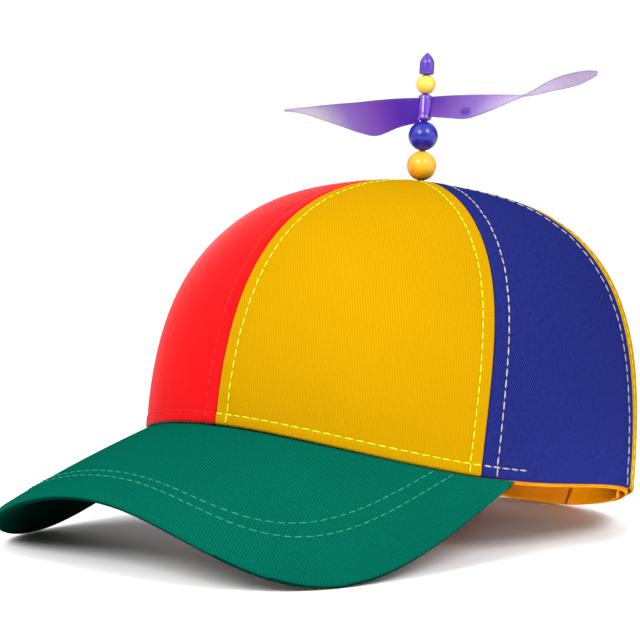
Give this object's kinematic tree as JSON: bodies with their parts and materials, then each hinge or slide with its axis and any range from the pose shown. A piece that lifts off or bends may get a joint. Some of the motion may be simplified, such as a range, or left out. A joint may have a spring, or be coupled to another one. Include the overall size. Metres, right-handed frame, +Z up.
{
  "type": "propeller cap",
  "caption": "Cloth cap with a rounded crown of coloured panels, a curved brim, a strap over an opening at the back and, on a beaded post at its top, a propeller that spins.",
  "frame": {"origin": "on the resting plane, under the middle of the cap's box", "axes": "+Z up, -Y toward the edge of the brim, +X toward the wearer's left"},
  "size_m": [0.1664, 0.2546, 0.1764],
  "materials": {
    "yellow_twill": "cotton twill, matte, golden yellow",
    "red_twill": "cotton twill, matte, bright red",
    "blue_twill": "cotton twill, matte, navy blue",
    "green_twill": "cotton twill, matte, deep green",
    "orange_lacquer": "smooth gloss, amber yellow",
    "blue_lacquer": "smooth gloss, royal blue",
    "pale_lacquer": "smooth gloss, pale yellow",
    "purple_plastic": "smooth gloss, violet",
    "tinted_plastic": "thin clear plastic tinted violet, fading to clear at the tips"
  },
  "bodies": {
    "cap": {"front_left_panel": "yellow_twill", "front_right_panel": "red_twill", "left_panel": "blue_twill", "right_panel": "blue_twill", "back_left_panel": "yellow_twill", "back_right_panel": "red_twill", "sweatband": "yellow_twill", "back_strap": "yellow_twill", "brim": "green_twill", "post": "purple_plastic", "lower_bead": "orange_lacquer", "middle_bead": "blue_lacquer", "upper_bead": "pale_lacquer", "finial": "purple_plastic"},
    "propeller": {"propeller": "tinted_plastic"}
  },
  "joints": [
    {"name": "propeller_spin", "type": "hinge", "parent": "cap", "child": "propeller", "pos_m": [0, 0.04237, 0.15572], "axis": [0, 0.0489, 0.9988], "continuous": true}
  ]
}
